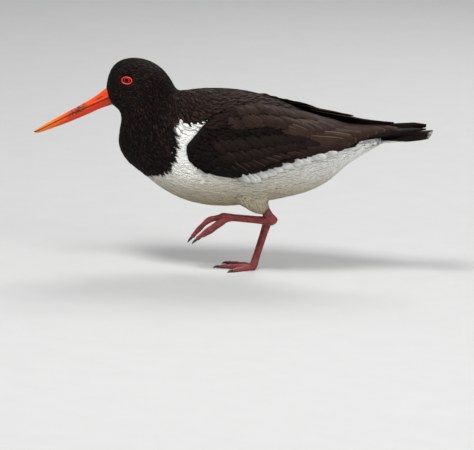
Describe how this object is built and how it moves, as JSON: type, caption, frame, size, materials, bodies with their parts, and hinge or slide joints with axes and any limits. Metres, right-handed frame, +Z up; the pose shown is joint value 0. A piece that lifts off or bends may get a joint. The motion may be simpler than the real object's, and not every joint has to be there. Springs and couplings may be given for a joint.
{
  "type": "oystercatcher",
  "caption": "Life-size black and white wading bird with a long orange bill, standing on one leg with the other lifted in mid-stride.",
  "frame": {"origin": "under the ball of the standing right foot, on the ground", "axes": "-X the way the bird faces, +X towards the tail, -Y the bird's left side, +Z up"},
  "size_m": [0.3966, 0.0968, 0.2094],
  "materials": {
    "white_plumage": "matte feather",
    "black_plumage": "soft matte feather",
    "wing_plumage": "satin feather with a brown cast",
    "bill": "smooth horn",
    "eye": "wet gloss",
    "eye_ring": "bare skin",
    "leg_skin": "scaly skin",
    "claw": "satin horn"
  },
  "bodies": {
    "root": {"torso": "white_plumage", "neck": "black_plumage", "head": "black_plumage", "tail": "black_plumage", "bill_upper": "bill", "bill_lower": "bill", "eye_left": "eye", "eye_right": "eye", "eye_ring_left": "eye_ring", "eye_ring_right": "eye_ring", "wing_left": "wing_plumage", "wing_right": "wing_plumage", "thigh_left": "white_plumage", "shank_left": "leg_skin", "tarsus_left": "leg_skin", "toe_inner_left": "leg_skin", "toe_middle_left": "leg_skin", "toe_outer_left": "leg_skin", "claw_inner_left": "claw", "claw_middle_left": "claw", "claw_outer_left": "claw", "thigh_right": "white_plumage", "shank_right": "leg_skin", "tarsus_right": "leg_skin", "toe_inner_right": "leg_skin", "toe_middle_right": "leg_skin", "toe_outer_right": "leg_skin", "claw_inner_right": "claw", "claw_middle_right": "claw", "claw_outer_right": "claw"}
  },
  "joints": []
}
